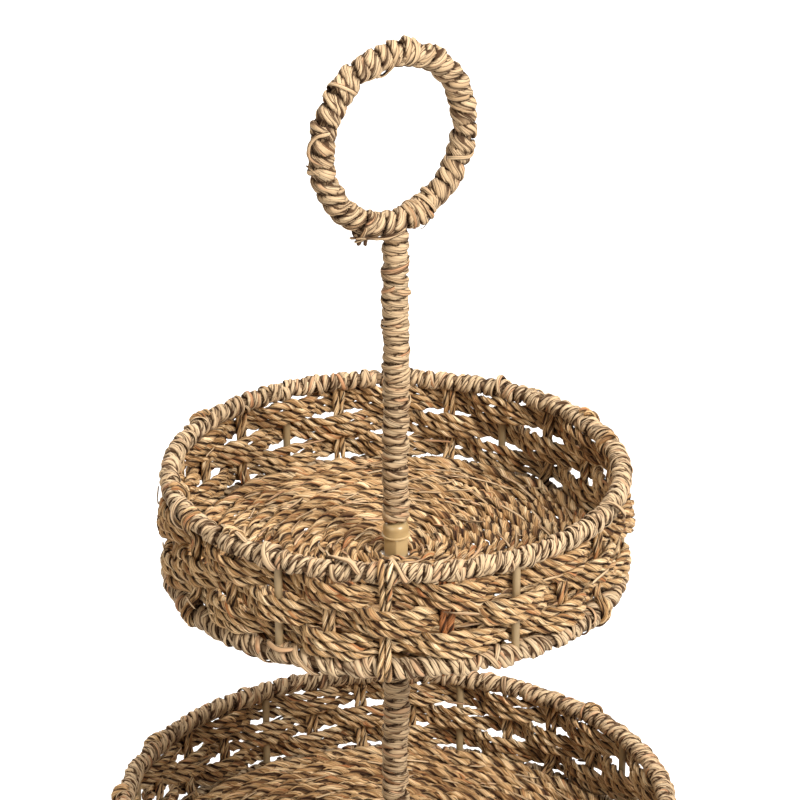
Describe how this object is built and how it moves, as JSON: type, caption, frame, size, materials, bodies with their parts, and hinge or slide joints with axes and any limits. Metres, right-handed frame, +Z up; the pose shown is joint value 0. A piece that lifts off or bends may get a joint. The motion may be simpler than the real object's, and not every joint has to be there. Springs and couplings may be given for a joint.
{
  "type": "seagrass tray",
  "caption": "Tiered tray stand: round steel wire trays woven and wrapped with seagrass, on a wrapped central post with a ring handle to carry it by.",
  "frame": {"origin": "centre of the lower tray's base, on the surface it stands on", "axes": "+Z up along the post; the ring handle lies in the XZ plane, so its axis is Y"},
  "size_m": [0.3858, 0.3858, 0.6166],
  "materials": {
    "seagrass_wrap": "twisted dry seagrass cord, matt with a slight sheen along the blades",
    "seagrass_rope": "two-ply seagrass rope, matt, straw to brown",
    "painted_steel": "tan powder coat, satin"
  },
  "bodies": {
    "root": {"base_bolt": "painted_steel", "handle_ring": "painted_steel", "handle_ring_wrap": "seagrass_wrap", "lower_base_ring": "painted_steel", "lower_base_wrap": "seagrass_wrap", "lower_coupling_nut": "painted_steel", "lower_ferrule": "painted_steel", "lower_floor_mat": "seagrass_rope", "lower_floor_spider": "painted_steel", "lower_hub_washer": "painted_steel", "lower_post": "painted_steel", "lower_post_collar": "painted_steel", "lower_post_wrap": "seagrass_wrap", "lower_rim_ring": "painted_steel", "lower_rim_wrap": "seagrass_wrap", "lower_rope_band_1": "seagrass_rope", "lower_rope_band_2": "seagrass_rope", "lower_rope_band_3": "seagrass_rope", "lower_under_washer": "painted_steel", "lower_upright_1": "painted_steel", "lower_upright_2": "painted_steel", "lower_upright_3": "painted_steel", "lower_upright_4": "painted_steel", "lower_upright_5": "painted_steel", "lower_upright_6": "painted_steel", "lower_upright_7": "painted_steel", "lower_upright_8": "painted_steel", "upper_base_ring": "painted_steel", "upper_base_wrap": "seagrass_wrap", "upper_coupling_nut": "painted_steel", "upper_ferrule": "painted_steel", "upper_floor_mat": "seagrass_rope", "upper_floor_spider": "painted_steel", "upper_hub_washer": "painted_steel", "upper_post": "painted_steel", "upper_post_wrap": "seagrass_wrap", "upper_rim_ring": "painted_steel", "upper_rim_wrap": "seagrass_wrap", "upper_rope_band_1": "seagrass_rope", "upper_rope_band_2": "seagrass_rope", "upper_rope_band_3": "seagrass_rope", "upper_under_washer": "painted_steel", "upper_upright_1": "painted_steel", "upper_upright_2": "painted_steel", "upper_upright_3": "painted_steel", "upper_upright_4": "painted_steel", "upper_upright_5": "painted_steel", "upper_upright_6": "painted_steel"}
  },
  "joints": []
}
